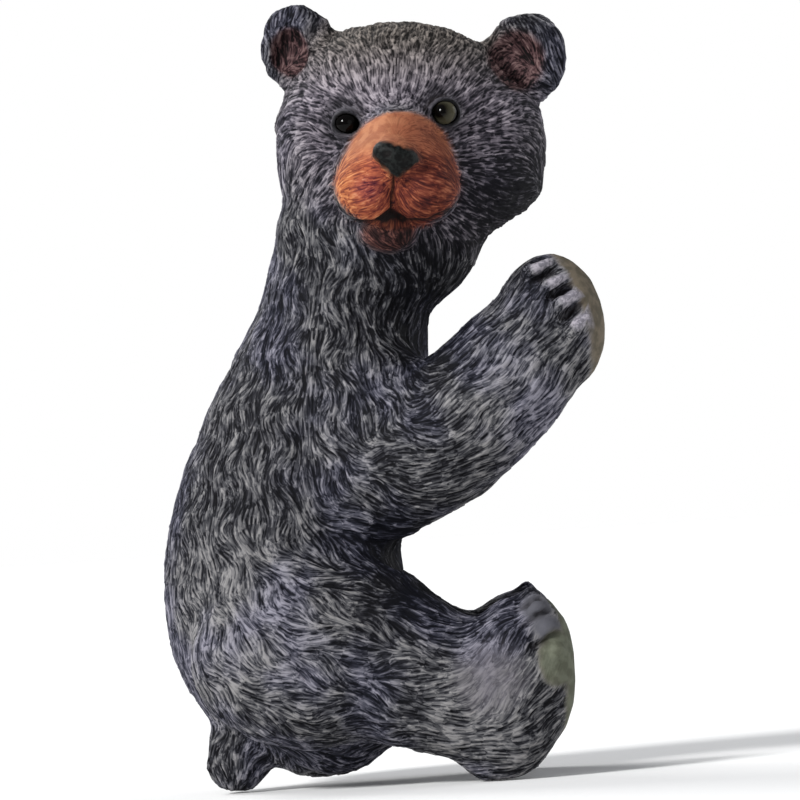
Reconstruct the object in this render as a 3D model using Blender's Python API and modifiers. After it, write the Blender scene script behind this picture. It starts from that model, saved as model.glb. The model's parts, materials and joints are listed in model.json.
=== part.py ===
"""Climbing bear cub: one cast figure with two set-in glossy eyes.

The cub climbs facing +X, where a round post would stand, and turns its head to look
towards -Y. It stands on small flats under its tail and its two heels. Its pose,
proportions and carving are shares of its own height, given as (forward, side, up):
forward is +X, side is +Y, up is +Z. Sizes that are set on their own are in metres.
"""
import math

import bmesh
import bpy
import numpy as np
from mathutils import Matrix, Vector

# Driving sizes, in metres
HEIGHT = 0.340
EYE_DIAMETER = 0.0110
EYE_STANDS_OUT = 0.0034
EYE_CLEARANCE = 0.0003
EYELID_WIDTH = 0.0030
EYELID_RAISE = 0.0012
STANDING_FLAT_DEPTH = 0.0015
PALM_FLAT_DEPTH = 0.0030
SOLE_FLAT_DEPTH = 0.0030
LOCK_LENGTH = 0.026
LOCK_WIDTH = 0.011
LOCK_RAISE = 0.0019
LOCK_SPACING = 0.0105
CLAW_LENGTH = 0.0100
CLAW_THICKNESS = 0.0040
MOUTH_GROOVE_WIDTH = 0.0034
MOUTH_GROOVE_DEPTH = 0.0022
TOE_CLEFT_DEPTH = 0.0020
NOSTRIL_DEPTH = 0.0022
EYE_HOLLOW_DEPTH = 0.0016
EAR_HOLLOW_DEPTH = 0.0050

# How finely the clay is worked, as shares of the height, and how many triangles are kept
MASS_GRAIN = 0.0110
MASS_SMOOTHING_PASSES = 9
DETAIL_GRAIN = 0.0052
DETAIL_SMOOTHING_PASSES = 6
TRIANGLE_BUDGET = 8200
SEED = 7

# Trunk of the body from the neck to the seat: forward, side, up, radius along, radius sideways
TORSO = (
    (-0.015, -0.015, 0.760, 0.100, 0.105),
    (-0.040, -0.005, 0.675, 0.102, 0.114),
    (-0.053, 0.000, 0.589, 0.112, 0.126),
    (-0.074, 0.000, 0.500, 0.132, 0.134),
    (-0.104, 0.000, 0.411, 0.142, 0.137),
    (-0.127, 0.000, 0.310, 0.152, 0.140),
    (-0.116, 0.000, 0.209, 0.156, 0.139),
    (-0.074, 0.000, 0.152, 0.138, 0.124),
)
TAIL = (
    (-0.140, 0.000, 0.115, 0.056, 0.050),
    (-0.170, 0.000, 0.070, 0.054, 0.043),
    (-0.186, 0.000, 0.036, 0.041, 0.034),
)
# Limbs of the side towards -Y; the other side mirrors them
ARM = (
    (-0.055, -0.070, 0.455, 0.084, 0.066),
    (0.030, -0.112, 0.432, 0.090, 0.074),
    (0.109, -0.134, 0.485, 0.090, 0.072),
    (0.175, -0.142, 0.553, 0.083, 0.066),
)
SHIN = (
    (0.020, -0.120, 0.152, 0.092, 0.068),
    (0.100, -0.128, 0.130, 0.085, 0.064),
)
# Rounded masses: centre, radii, then the tilt in degrees about +Y
SHOULDER = ((-0.020, -0.080, 0.480), (0.100, 0.078, 0.105), 0)
ELBOW = ((-0.005, -0.088, 0.408), (0.095, 0.078, 0.090), 0)
PAW = ((0.2115, -0.142, 0.596), (0.070, 0.060, 0.092), -8)
HAUNCH = ((-0.080, -0.110, 0.183), (0.168, 0.082, 0.123), -10)
KNEE = ((0.040, -0.118, 0.180), (0.085, 0.064, 0.075), 0)
FOOT = ((0.160, -0.132, 0.138), (0.084, 0.062, 0.126), 14)
HEAD = (
    ((0.024, -0.030, 0.836), (0.163, 0.152, 0.148), 0),
    ((0.022, -0.030, 0.888), (0.142, 0.136, 0.096), 0),
    ((0.036, -0.045, 0.790), (0.174, 0.134, 0.098), 0),
    ((-0.066, -0.042, 0.836), (0.076, 0.100, 0.086), 0),
    ((0.130, -0.042, 0.834), (0.080, 0.100, 0.080), 0),
    ((-0.006, -0.028, 0.706), (0.134, 0.125, 0.100), 0),
)
MUZZLE = (
    ((0.0165, -0.165, 0.785), (0.078, 0.098, 0.066), 0),
    ((-0.0190, -0.206, 0.768), (0.042, 0.062, 0.046), 0),
    ((0.0505, -0.206, 0.769), (0.044, 0.062, 0.046), 0),
    ((0.0080, -0.172, 0.715), (0.042, 0.052, 0.032), 0),
)
NOSE_BRIDGE = (
    (0.020, -0.138, 0.856, 0.048, 0.036),
    (0.018, -0.196, 0.834, 0.046, 0.036),
    (0.017, -0.234, 0.812, 0.034, 0.026),
)
NOSE = ((0.016, -0.262, 0.801), (0.030, 0.030, 0.0235), 14)
EARS = (
    ((-0.109, -0.012, 0.948), (0.051, 0.028, 0.060), -12),
    ((0.178, -0.012, 0.933), (0.057, 0.028, 0.064), 14),
)
EAR_HOLLOWS = (((-0.122, -0.040, 0.942), 0.026), ((0.166, -0.040, 0.932), 0.034))
EYES = {"eye_right": (-0.0455, 0.845), "eye_left": (0.077, 0.8585)}
NOSTRILS = ((-0.002, -0.284, 0.796), (0.032, -0.284, 0.792))
NOSTRIL_RADIUS = 0.011
MOUTH = (
    ((0.0135, 0.779), (0.0120, 0.737)),
    ((0.0120, 0.737), (-0.0090, 0.7285)),
    ((-0.0090, 0.7285), (-0.0420, 0.7270)),
    ((0.0120, 0.737), (0.0260, 0.7305)),
    ((0.0260, 0.7305), (0.0640, 0.7330)),
)
PAW_TOES = (
    (0.189, -0.158, 0.654),
    (0.203, -0.168, 0.636),
    (0.219, -0.172, 0.617),
    (0.236, -0.170, 0.588),
)
FOOT_TOES = (
    (0.184, -0.138, 0.248),
    (0.199, -0.147, 0.231),
    (0.212, -0.152, 0.209),
    (0.222, -0.151, 0.183),
)
PAW_CLAW_AIM = (0.76, -0.10, 0.64)
FOOT_CLAW_AIM = (0.88, -0.10, 0.47)
# How far past its toe's middle each claw is seated, in toe radii
PAW_CLAW_SEAT = 0.5
FOOT_CLAW_SEAT = -0.5
TOE_RADII = (0.016, 0.027, 0.024)
TOE_CLEFT_LENGTH = 0.045
TOE_CLEFT_WIDTH = 0.008
CLAW_GIRTHS = ((-0.5, 0.9), (0.0, 1.0), (0.5, 0.55))
PALM_FACING = (0.86, 0.42, 0.28)
SOLE_FACING = (0.95, 0.28, 0.08)
PAD_REACH = 0.13
PAD_SKIN_DEPTH = (0.025, 0.045)
PAD_CUTTER = (0.18, 0.06)

# Where the face and the muzzle begin, and where the tail ends and the heels begin
FACE_FRONT = -0.10
MUZZLE_FRONT = -0.19
TAIL_BEHIND = -0.13
HEELS_AHEAD = 0.04
TAIL_TO_HEELS = 0.33

# Fur vanes: place, way the fur lies. The side towards -Y is given and the other mirrors it
FUR_VANES = (
    ((-0.16, 0.00, 0.66), (-0.30, 0.0, -1.0)),
    ((-0.22, 0.00, 0.48), (-0.25, 0.0, -1.0)),
    ((-0.28, 0.00, 0.30), (-0.05, 0.0, -1.0)),
    ((-0.25, -0.04, 0.16), (0.35, 0.0, -0.9)),
    ((-0.20, 0.00, 0.05), (-0.30, 0.0, -1.0)),
    ((-0.09, -0.12, 0.62), (-0.05, 0.0, -1.0)),
    ((-0.13, -0.12, 0.50), (-0.10, 0.0, -1.0)),
    ((-0.16, -0.13, 0.38), (0.10, 0.0, -1.0)),
    ((0.05, 0.00, 0.60), (0.0, 0.0, -1.0)),
    ((0.03, 0.00, 0.36), (0.0, 0.0, -1.0)),
    ((-0.02, -0.15, 0.50), (0.30, 0.0, -1.0)),
    ((0.02, -0.17, 0.42), (0.90, 0.0, -0.1)),
    ((0.11, -0.19, 0.48), (0.77, 0.0, 0.64)),
    ((0.19, -0.20, 0.58), (0.62, 0.0, 0.78)),
    ((-0.12, -0.18, 0.25), (0.55, 0.0, -0.8)),
    ((-0.02, -0.19, 0.21), (0.85, 0.0, -0.5)),
    ((-0.06, -0.17, 0.10), (0.90, 0.0, -0.3)),
    ((0.06, -0.18, 0.14), (1.0, 0.0, 0.0)),
    ((0.14, -0.19, 0.13), (0.6, 0.0, 0.8)),
    ((0.12, -0.18, 0.05), (0.9, 0.0, 0.3)),
)
VANE_SOFTNESS = 0.035
HEAD_FUR_CENTRE = (0.016, -0.262, 0.800)
HEAD_CENTRE = (0.034, -0.035, 0.840)
HEAD_FUR_REACH = (0.145, 0.200)
HEAD_LOCK_SCALE = (0.6, 0.75, 0.45)
LOCK_VARIATION = 0.25
LOCK_BEND = 0.25
LOCK_ROOT_HEIGHT = 0.35
LOCK_MEAN_HEIGHT = 0.45

FUR_COLOUR = (0.075, 0.072, 0.090)
EYE_COLOUR = (0.018, 0.012, 0.008)


def clear_scene():
    for item in list(bpy.data.objects):
        bpy.data.objects.remove(item, do_unlink=True)


def place(shares):
    """A point of the figure, before it is tipped to stand, from shares of its height."""
    return Vector(shares) * HEIGHT


def mirrored(shares):
    """The same place on the other side of the body."""
    return (shares[0], -shares[1], *shares[2:])


def as_given(shares):
    return shares


BOTH_SIDES = (as_given, mirrored)


def add_mass(clay, centre, radii, tilt):
    """One rounded mass of clay."""
    form = Matrix.Translation(place(centre)) @ Matrix.Rotation(math.radians(tilt), 4, "Y")
    form = form @ Matrix.Diagonal((*(Vector(radii) * HEIGHT), 1.0))
    bmesh.ops.create_uvsphere(clay, u_segments=28, v_segments=18, radius=1.0, matrix=form)


def spline(stations, steps=8):
    """Points of a smooth curve through the stations, radii included."""
    knots = [np.array(s) for s in (stations[0], *stations, stations[-1])]
    points = []
    for a, b, c, d in zip(knots, knots[1:], knots[2:], knots[3:]):
        for t in np.linspace(0.0, 1.0, steps, endpoint=False):
            bend = 2 * b + (c - a) * t + (2 * a - 5 * b + 4 * c - d) * t**2
            points.append(0.5 * (bend + (3 * b - a - 3 * c + d) * t**3))
    return points + [knots[-1]]


def add_limb(clay, stations, sides=28, dome_rings=5):
    """A limb of elliptic section that follows its stations, with a domed end at each side."""
    points = spline(stations)
    rings = []
    for i, point in enumerate(points):
        along = Vector(points[min(i + 1, len(points) - 1)][:3] - points[max(i - 1, 0)][:3]).normalized()
        across = Vector((0, 1, 0)).cross(along).normalized()
        rings.append((Vector(point[:3]), along, across, along.cross(across), point[3], point[4]))
    domed = []
    for (centre, along, across, side, wide, deep), way in ((rings[0], -1), (rings[-1], 1)):
        cap = []
        for k in range(1, dome_rings):
            angle = k / dome_rings * math.pi / 2
            reach = centre + way * along * math.sin(angle) * (wide + deep) / 2
            cap.append((reach, along, across, side, wide * math.cos(angle), deep * math.cos(angle)))
        domed.append(cap)
    loops = []
    for centre, along, across, side, wide, deep in domed[0][::-1] + rings + domed[1]:
        loop = []
        for k in range(sides):
            turn = 2 * math.pi * k / sides
            spot = centre + across * wide * math.cos(turn) + side * deep * math.sin(turn)
            loop.append(clay.verts.new(spot * HEIGHT))
        loops.append(loop)
    for low, high in zip(loops, loops[1:]):
        for k in range(sides):
            n = (k + 1) % sides
            clay.faces.new((low[k], low[n], high[n], high[k]))
    clay.faces.new(loops[0][::-1])
    clay.faces.new(loops[-1])


def claw_stations(tip, aim):
    """A claw that lies on its toe: it swells from the root and ends in a point."""
    length = CLAW_LENGTH / HEIGHT
    thick = CLAW_THICKNESS / HEIGHT / 2
    tip, aim = Vector(tip), Vector(aim).normalized()
    stations = []
    for share, girth in CLAW_GIRTHS:
        stations.append((*(tip + aim * length * share), thick * girth, thick * girth))
    return tuple(stations)


def finished(clay, name):
    bmesh.ops.recalc_face_normals(clay, faces=clay.faces)
    mesh = bpy.data.meshes.new(name)
    clay.to_mesh(mesh)
    clay.free()
    return mesh


def large_masses():
    """Trunk, head and limbs as one rough mesh of closed, overlapping forms."""
    clay = bmesh.new()
    add_limb(clay, TORSO)
    for mass in HEAD:
        add_mass(clay, *mass)
    for side in BOTH_SIDES:
        for limb in (ARM, SHIN):
            add_limb(clay, tuple(side(station) for station in limb))
        for centre, radii, tilt in (SHOULDER, ELBOW, PAW, HAUNCH, KNEE, FOOT):
            add_mass(clay, side(centre), radii, tilt)
    return finished(clay, "masses")


def with_small_forms(body):
    """The body with tail, ears, muzzle, nose, toes and claws set on it."""
    clay = bmesh.new()
    clay.from_mesh(body)
    add_limb(clay, TAIL)
    add_limb(clay, NOSE_BRIDGE)
    for mass in (*MUZZLE, *EARS, NOSE):
        add_mass(clay, *mass)
    for side in BOTH_SIDES:
        limbs = ((PAW_TOES, PAW_CLAW_AIM, PAW_CLAW_SEAT), (FOOT_TOES, FOOT_CLAW_AIM, FOOT_CLAW_SEAT))
        for toes, aim, seat in limbs:
            for toe in toes:
                add_mass(clay, side(toe), TOE_RADII, 0)
                tip = Vector(toe) + Vector(aim).normalized() * TOE_RADII[2] * seat
                tip.y -= TOE_RADII[1] * 0.75
                add_limb(clay, [side(station) for station in claw_stations(tip, aim)], sides=12)
    return finished(clay, "forms")


def evaluated_copy(item, name):
    """The mesh of an object with its modifiers carried out."""
    graph = bpy.context.evaluated_depsgraph_get()
    graph.update()
    mesh = bpy.data.meshes.new_from_object(item.evaluated_get(graph), depsgraph=graph)
    mesh.name = name
    return mesh


def skinned(clay, collection, grain, passes):
    """One even skin over rough forms, with the hollows between them filled softly."""
    item = bpy.data.objects.new("clay", clay)
    collection.objects.link(item)
    skin = item.modifiers.new("one skin", "REMESH")
    skin.mode = "VOXEL"
    skin.voxel_size = grain * HEIGHT
    soften = item.modifiers.new("soften", "SMOOTH")
    soften.factor = 0.5
    soften.iterations = passes
    mesh = evaluated_copy(item, "bear")
    bpy.data.objects.remove(item, do_unlink=True)
    bpy.data.meshes.remove(clay)
    return mesh


def mesh_arrays(mesh):
    points = np.empty(len(mesh.vertices) * 3)
    normals = np.empty(len(mesh.vertices) * 3)
    mesh.vertices.foreach_get("co", points)
    mesh.vertices.foreach_get("normal", normals)
    return points.reshape(-1, 3), normals.reshape(-1, 3)


def store_points(mesh, points):
    mesh.vertices.foreach_set("co", points.ravel())
    mesh.update()


def fade(value, inner, outer):
    """1 below inner, 0 above outer, with a soft step between."""
    t = np.clip((outer - value) / (outer - inner), 0.0, 1.0)
    return t * t * (3 - 2 * t)


def distance(points, centre):
    return np.linalg.norm(points - np.array(place(centre)), axis=1)


def unit(vectors):
    return vectors / np.maximum(np.linalg.norm(vectors, axis=1, keepdims=True), 1e-9)


def head_share(points):
    """1 on the head, 0 on the body."""
    return fade(distance(points, HEAD_CENTRE) / HEIGHT, *HEAD_FUR_REACH)


def fur_flow(points, normals):
    """The way the fur lies at each point, along the skin."""
    folded = points * (1, -1, 1)
    folded[points[:, 1] < 0] = points[points[:, 1] < 0]
    flow = np.zeros_like(points)
    for spot, way in FUR_VANES:
        near = distance(folded, spot) / HEIGHT
        flow += unit(np.array([way])) / (near[:, None] ** 2 + VANE_SOFTNESS**2) ** 2
    flow = unit(flow)
    flow[points[:, 1] > 0] *= (1, -1, 1)
    on_head = head_share(points)
    from_nose = unit(points - np.array(place(HEAD_FUR_CENTRE)))
    flow = flow * (1 - on_head[:, None]) + from_nose * on_head[:, None]
    return unit(flow - normals * (flow * normals).sum(axis=1, keepdims=True))


def bare_skin(points):
    """0 to 1: how far the fur gives way to smooth or short-haired parts."""
    bare = np.zeros(len(points))
    for centre, radii, _ in (*MUZZLE, NOSE):
        apart = (points - np.array(place(centre))) / (np.array(radii) * HEIGHT)
        bare = np.maximum(bare, fade(np.linalg.norm(apart, axis=1), 1.1, 1.4))
    for centre, reach in EAR_HOLLOWS:
        bare = np.maximum(bare, fade(distance(points, centre), reach * HEIGHT, 1.6 * reach * HEIGHT))
    for side in BOTH_SIDES:
        for (centre, _, _), facing in ((PAW, PALM_FACING), (FOOT, SOLE_FACING)):
            out = (points - np.array(place(side(centre)))) @ np.array(Vector(side(facing)).normalized())
            near = fade(distance(points, side(centre)) / HEIGHT, PAD_REACH, 1.5 * PAD_REACH)
            bare = np.maximum(bare, near * (1 - fade(out / HEIGHT, *PAD_SKIN_DEPTH)))
    for _, (forward, up) in EYES.items():
        across = np.hypot(points[:, 0] - forward * HEIGHT, points[:, 2] - up * HEIGHT)
        bare = np.maximum(bare, fade(across, EYE_DIAMETER, 1.6 * EYE_DIAMETER) * (points[:, 1] < 0))
    return bare


def lock_seeds(points, generator):
    """Vertices an even distance apart, one for each lock of fur."""
    free = generator.permutation(len(points))
    seeds = []
    while len(free):
        seeds.append(free[0])
        away = np.linalg.norm(points[free] - points[free[0]], axis=1) > LOCK_SPACING
        free = free[away]
    return seeds


def carve_locks(points, normals):
    """Overlapping pointed locks that lie along the fur and lift at their tips."""
    flow = fur_flow(points, normals)
    raised = np.zeros(len(points))
    generator = np.random.default_rng(SEED)
    on_head = head_share(points)
    for seed in lock_seeds(points, generator):
        shorter, narrower, lower = 1 - on_head[seed] * (1 - np.array(HEAD_LOCK_SCALE))
        length = LOCK_LENGTH * shorter * generator.uniform(1 - LOCK_VARIATION, 1 + LOCK_VARIATION)
        width = LOCK_WIDTH * narrower * generator.uniform(1 - LOCK_VARIATION, 1 + LOCK_VARIATION)
        bend = generator.uniform(-LOCK_BEND, LOCK_BEND)
        offset = points - points[seed]
        near = np.flatnonzero((offset**2).sum(axis=1) < (0.75 * length) ** 2)
        side = np.cross(normals[seed], flow[seed])
        along = offset[near] @ flow[seed] / length + 0.5
        across = offset[near] @ side / width + bend * np.sin(np.pi * along)
        taper = np.sqrt(np.clip(4 * along, 0, 1) * np.clip(2 * (1 - along), 0, 1))
        crown = 1 - (across / np.maximum(taper * 0.5, 1e-3)) ** 2
        rise = LOCK_ROOT_HEIGHT + (1 - LOCK_ROOT_HEIGHT) * np.clip(along, 0, 1)
        lift = np.sqrt(np.clip(crown, 0, 1)) * rise
        lift[(along < 0) | (along > 1) | (normals[near] @ normals[seed] < 0.3)] = 0
        raised[near] = np.maximum(raised[near], lift * lower)
    return LOCK_RAISE * (raised - LOCK_MEAN_HEIGHT) * (1 - bare_skin(points))


def mouth_distance(points):
    """Distance in the plane of the face from the line of the mouth and the lip cleft."""
    flat = points[:, [0, 2]]
    best = np.full(len(points), HEIGHT)
    for start, end in MOUTH:
        a, b = np.array(start) * HEIGHT, np.array(end) * HEIGHT
        share = np.clip((flat - a) @ (b - a) / ((b - a) @ (b - a)), 0, 1)
        best = np.minimum(best, np.linalg.norm(flat - a - share[:, None] * (b - a), axis=1))
    return best


def carve_clefts(points):
    """Grooves between the toes of each paw and foot."""
    depth = np.zeros(len(points))
    for toes, aim in ((PAW_TOES, PAW_CLAW_AIM), (FOOT_TOES, FOOT_CLAW_AIM)):
        run = Vector(aim).normalized() * TOE_CLEFT_LENGTH
        for low, high in zip(toes, toes[1:]):
            middle = (Vector(low) + Vector(high)) / 2
            middle.y -= TOE_RADII[1] * 0.8
            for side in BOTH_SIDES:
                start = np.array(place(side(tuple(middle - run * 0.6))))
                end = np.array(place(side(tuple(middle + run * 0.4))))
                share = np.clip((points - start) @ (end - start) / ((end - start) @ (end - start)), 0, 1)
                apart = np.linalg.norm(points - start - share[:, None] * (end - start), axis=1)
                depth = np.minimum(depth, -np.exp(-((apart / (TOE_CLEFT_WIDTH * HEIGHT)) ** 2)))
    return TOE_CLEFT_DEPTH * depth


def carve_face(points, normals):
    """Ear hollows, mouth, nostrils and lids, as a height along the skin's normal."""
    facing = normals[:, 1] < -0.15
    depth = np.zeros(len(points))
    for centre, reach in EAR_HOLLOWS:
        hollow = fade(distance(points, centre), 0.35 * reach * HEIGHT, 1.25 * reach * HEIGHT)
        depth -= EAR_HOLLOW_DEPTH * hollow * facing
    on_muzzle = points[:, 1] < MUZZLE_FRONT * HEIGHT
    groove = np.exp(-((mouth_distance(points) / (MOUTH_GROOVE_WIDTH / 2)) ** 2))
    depth -= MOUTH_GROOVE_DEPTH * groove * on_muzzle
    for nostril in NOSTRILS:
        depth -= NOSTRIL_DEPTH * np.exp(-((distance(points, nostril) / (NOSTRIL_RADIUS * HEIGHT)) ** 2))
    for _, (forward, up) in EYES.items():
        across = np.hypot(points[:, 0] - forward * HEIGHT, points[:, 2] - up * HEIGHT)
        on_face = facing * (points[:, 1] < FACE_FRONT * HEIGHT)
        ring = (across - EYE_DIAMETER / 2 - EYELID_WIDTH / 2) / (EYELID_WIDTH / 2)
        depth += EYELID_RAISE * np.exp(-(ring**2)) * on_face
        depth -= EYE_HOLLOW_DEPTH * fade(across, 0.6 * EYE_DIAMETER, 1.5 * EYE_DIAMETER) * on_face
    return depth


def eye_centre(points, forward, up):
    """The middle of an eye: set so far into the face that it stands out by its own value."""
    across = np.hypot(points[:, 0] - forward * HEIGHT, points[:, 2] - up * HEIGHT)
    near = (across < EYE_DIAMETER / 2) & (points[:, 1] < FACE_FRONT * HEIGHT)
    skin = points[near, 1].mean()
    return Vector((forward * HEIGHT, skin - EYE_STANDS_OUT + EYE_DIAMETER / 2, up * HEIGHT))


def standing_turn(points):
    """The turn about Y and the drop that bring the tail and the heels down to one level."""
    lean = 0.0
    behind = points[:, 0] < TAIL_BEHIND * HEIGHT
    ahead = points[:, 0] > HEELS_AHEAD * HEIGHT
    for _ in range(12):
        level = points[:, 2] * math.cos(lean) - points[:, 0] * math.sin(lean)
        lean += math.atan2(level[ahead].min() - level[behind].min(), TAIL_TO_HEELS * HEIGHT)
    level = points[:, 2] * math.cos(lean) - points[:, 0] * math.sin(lean)
    drop = level.min() + STANDING_FLAT_DEPTH
    return Matrix.Translation((0, 0, -drop)) @ Matrix.Rotation(lean, 4, "Y")


def turned(points, turn):
    return points @ np.array(turn.to_3x3()).T + np.array(turn.translation)


def material(name, colour, roughness):
    finish = bpy.data.materials.new(name)
    finish.use_nodes = True
    shader = finish.node_tree.nodes["Principled BSDF"]
    shader.inputs["Base Color"].default_value = (*colour, 1.0)
    shader.inputs["Roughness"].default_value = roughness
    shader.inputs["Metallic"].default_value = 0.0
    return finish


def flat_cutter(name, spot, facing, width, thickness, collection):
    """A box whose near face touches the spot and looks back against the facing direction."""
    bpy.ops.mesh.primitive_cube_add(size=1.0)
    box = bpy.context.object
    box.name = name
    box.scale = (width, width, thickness)
    box.rotation_mode = "QUATERNION"
    box.rotation_quaternion = facing.to_track_quat("Z", "Y")
    box.location = spot + facing * thickness / 2
    return keep_as_cutter(box, collection)


def move_to(item, collection):
    for owner in list(item.users_collection):
        owner.objects.unlink(item)
    collection.objects.link(item)


def keep_as_cutter(item, collection):
    move_to(item, collection)
    item.hide_render = True
    item.display_type = "WIRE"
    return item


def cut(item, tool):
    boolean = item.modifiers.new(tool.name, "BOOLEAN")
    boolean.operation = "DIFFERENCE"
    boolean.solver = "EXACT"
    boolean.object = tool


def pad_flat(points, centre, facing, depth):
    """A spot on the plane that takes the stated depth off the farthest skin of a pad."""
    near = points[np.linalg.norm(points - np.array(centre), axis=1) < PAD_REACH * HEIGHT]
    reach = (near @ np.array(facing)).max() - depth
    return centre + facing * (reach - centre.dot(facing))


def ball(name, centre, radius, segments=20):
    bpy.ops.mesh.primitive_uv_sphere_add(segments=segments, ring_count=segments // 2, radius=radius)
    item = bpy.context.object
    item.name = name
    item.location = centre
    item.data.shade_smooth()
    return item


def build_eyes(skin, turn, sculpture, cutters, bear):
    """Each eye is a ball in a socket cut a clearance wider."""
    finish = material("eye gloss", EYE_COLOUR, 0.05)
    for name, (forward, up) in EYES.items():
        centre = turn @ eye_centre(skin, forward, up)
        socket = ball(name + " socket", centre, EYE_DIAMETER / 2 + EYE_CLEARANCE)
        cut(bear, keep_as_cutter(socket, cutters))
        eye = ball(name, centre, EYE_DIAMETER / 2)
        move_to(eye, sculpture)
        eye.data.materials.append(finish)


def build_flats(points, turn, cutters, bear):
    """Flats under the tail and heels to stand on, and on palms and soles against a post."""
    ground = Vector((0, 0, 0)), Vector((0, 0, -1)), 2 * HEIGHT, HEIGHT
    cut(bear, flat_cutter("ground", *ground, cutters))
    width, thickness = (share * HEIGHT for share in PAD_CUTTER)
    sides = zip(("right", "left"), BOTH_SIDES)
    pads = (("palm", PAW, PALM_FACING, PALM_FLAT_DEPTH), ("sole", FOOT, SOLE_FACING, SOLE_FLAT_DEPTH))
    for label, side in sides:
        for pad, (centre, _, _), facing, depth in pads:
            middle = turn @ place(side(centre))
            outward = (turn.to_3x3() @ Vector(side(facing))).normalized()
            spot = pad_flat(points, middle, outward, depth)
            cut(bear, flat_cutter(f"{pad} {label}", spot, outward, width, thickness, cutters))


def centre_over_origin(items, bear):
    """Moves everything sideways so that the origin is under the middle of the figure."""
    mesh = evaluated_copy(bear, "measure")
    points, _ = mesh_arrays(mesh)
    middle = (points.min(axis=0) + points.max(axis=0)) / 2
    bpy.data.meshes.remove(mesh)
    for item in items:
        item.location.x -= middle[0]
        item.location.y -= middle[1]


def main():
    clear_scene()
    sculpture = bpy.data.collections.new("bear sculpture")
    cutters = bpy.data.collections.new("cutters")
    bpy.context.scene.collection.children.link(sculpture)
    bpy.context.scene.collection.children.link(cutters)

    body = skinned(large_masses(), sculpture, MASS_GRAIN, MASS_SMOOTHING_PASSES)
    mesh = skinned(with_small_forms(body), sculpture, DETAIL_GRAIN, DETAIL_SMOOTHING_PASSES)
    skin, normals = mesh_arrays(mesh)
    height = carve_locks(skin, normals) + carve_face(skin, normals) + carve_clefts(skin)
    carved = skin + normals * height[:, None]
    turn = standing_turn(carved)
    standing = turned(carved, turn)
    store_points(mesh, standing)

    bear = bpy.data.objects.new("bear", mesh)
    sculpture.objects.link(bear)
    mesh.materials.append(material("painted resin", FUR_COLOUR, 0.55))
    thin = bear.modifiers.new("fewer faces", "DECIMATE")
    thin.ratio = TRIANGLE_BUDGET / (2 * len(mesh.vertices))
    thin.use_collapse_triangulate = True
    build_flats(standing, turn, cutters, bear)
    build_eyes(skin, turn, sculpture, cutters, bear)
    centre_over_origin([*sculpture.objects, *cutters.objects], bear)
    mesh.shade_smooth()
    mesh.set_sharp_from_angle(angle=math.radians(50))


main()
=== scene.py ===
# %% [markdown]
# # A climbing bear cub in painted cast resin
#
# The real thing is a garden figure. A sculptor carved a cub in clay, stroke by stroke,
# the clay was moulded, and each copy is polyresin cast hollow in that mould and painted
# by hand. This notebook follows the same road: a smooth body, its face and claws, the
# carved strokes of the fur, and last the paint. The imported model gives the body's form
# and its place, so everything starts from it.

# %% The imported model
import json
import math

import bmesh
import bpy
import numpy as np
from mathutils import Matrix, Vector, kdtree


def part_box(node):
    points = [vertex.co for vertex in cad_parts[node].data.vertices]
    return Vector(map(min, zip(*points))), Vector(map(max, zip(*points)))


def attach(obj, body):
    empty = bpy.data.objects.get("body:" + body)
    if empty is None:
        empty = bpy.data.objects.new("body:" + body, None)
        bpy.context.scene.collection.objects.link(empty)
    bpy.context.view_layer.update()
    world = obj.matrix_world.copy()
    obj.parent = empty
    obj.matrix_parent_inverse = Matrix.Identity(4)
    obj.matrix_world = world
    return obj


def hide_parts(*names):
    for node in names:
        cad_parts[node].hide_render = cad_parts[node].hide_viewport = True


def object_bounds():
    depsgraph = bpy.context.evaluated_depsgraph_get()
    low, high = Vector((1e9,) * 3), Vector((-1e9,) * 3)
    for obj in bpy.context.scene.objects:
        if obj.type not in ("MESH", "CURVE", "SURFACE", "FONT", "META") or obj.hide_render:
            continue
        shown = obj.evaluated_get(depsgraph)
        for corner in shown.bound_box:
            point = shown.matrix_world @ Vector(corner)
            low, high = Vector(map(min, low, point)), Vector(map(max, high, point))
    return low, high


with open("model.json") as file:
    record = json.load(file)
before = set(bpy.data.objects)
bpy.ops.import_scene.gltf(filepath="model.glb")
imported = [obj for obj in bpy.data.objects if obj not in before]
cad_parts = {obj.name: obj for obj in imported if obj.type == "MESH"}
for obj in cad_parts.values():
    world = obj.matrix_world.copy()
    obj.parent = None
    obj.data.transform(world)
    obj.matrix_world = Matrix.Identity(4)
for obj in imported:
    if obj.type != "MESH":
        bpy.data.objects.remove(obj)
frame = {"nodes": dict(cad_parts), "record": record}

bpy.context.view_layer.update()
cad_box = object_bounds()
print("packed model from", cad_box[0], "to", cad_box[1])

# %% [markdown]
# ## The figure's own upright
#
# The cub stands on its tail and heels with a slight lean. Its face and limbs are easier to
# describe as a maker would hold it, upright, in shares of its height: forward, side, up.
# The two eyes are known in both ways, so they give the lean and the shift between the two.

# %% From the figure's own upright to the row's frame
HEIGHT = 0.340
EYES = {"eye_right": (-0.0455, 0.845), "eye_left": (0.077, 0.8585)}

def eye_middle(node):
    low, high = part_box(node)
    return (low + high) / 2

held = [Vector((EYES[name][0], 0, EYES[name][1])) * HEIGHT for name in EYES]
stood = [eye_middle(name) for name in EYES]
lean = Vector((held[1].x - held[0].x, held[1].z - held[0].z)).angle_signed(
    Vector((stood[1].x - stood[0].x, stood[1].z - stood[0].z)))
TURN = Matrix.Rotation(lean, 4, "Y")
palms = [m["pos_m"][1] for m in frame["record"]["mounts"] if m["name"].startswith("palm")]
shift = (stood[0] + stood[1]) / 2 - TURN @ ((held[0] + held[1]) / 2)
shift.y = sum(palms) / len(palms)
STAND = Matrix.Translation(shift) @ TURN
print("lean", round(math.degrees(lean), 2), "degrees, middle of the body at y", round(shift.y, 4))

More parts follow.
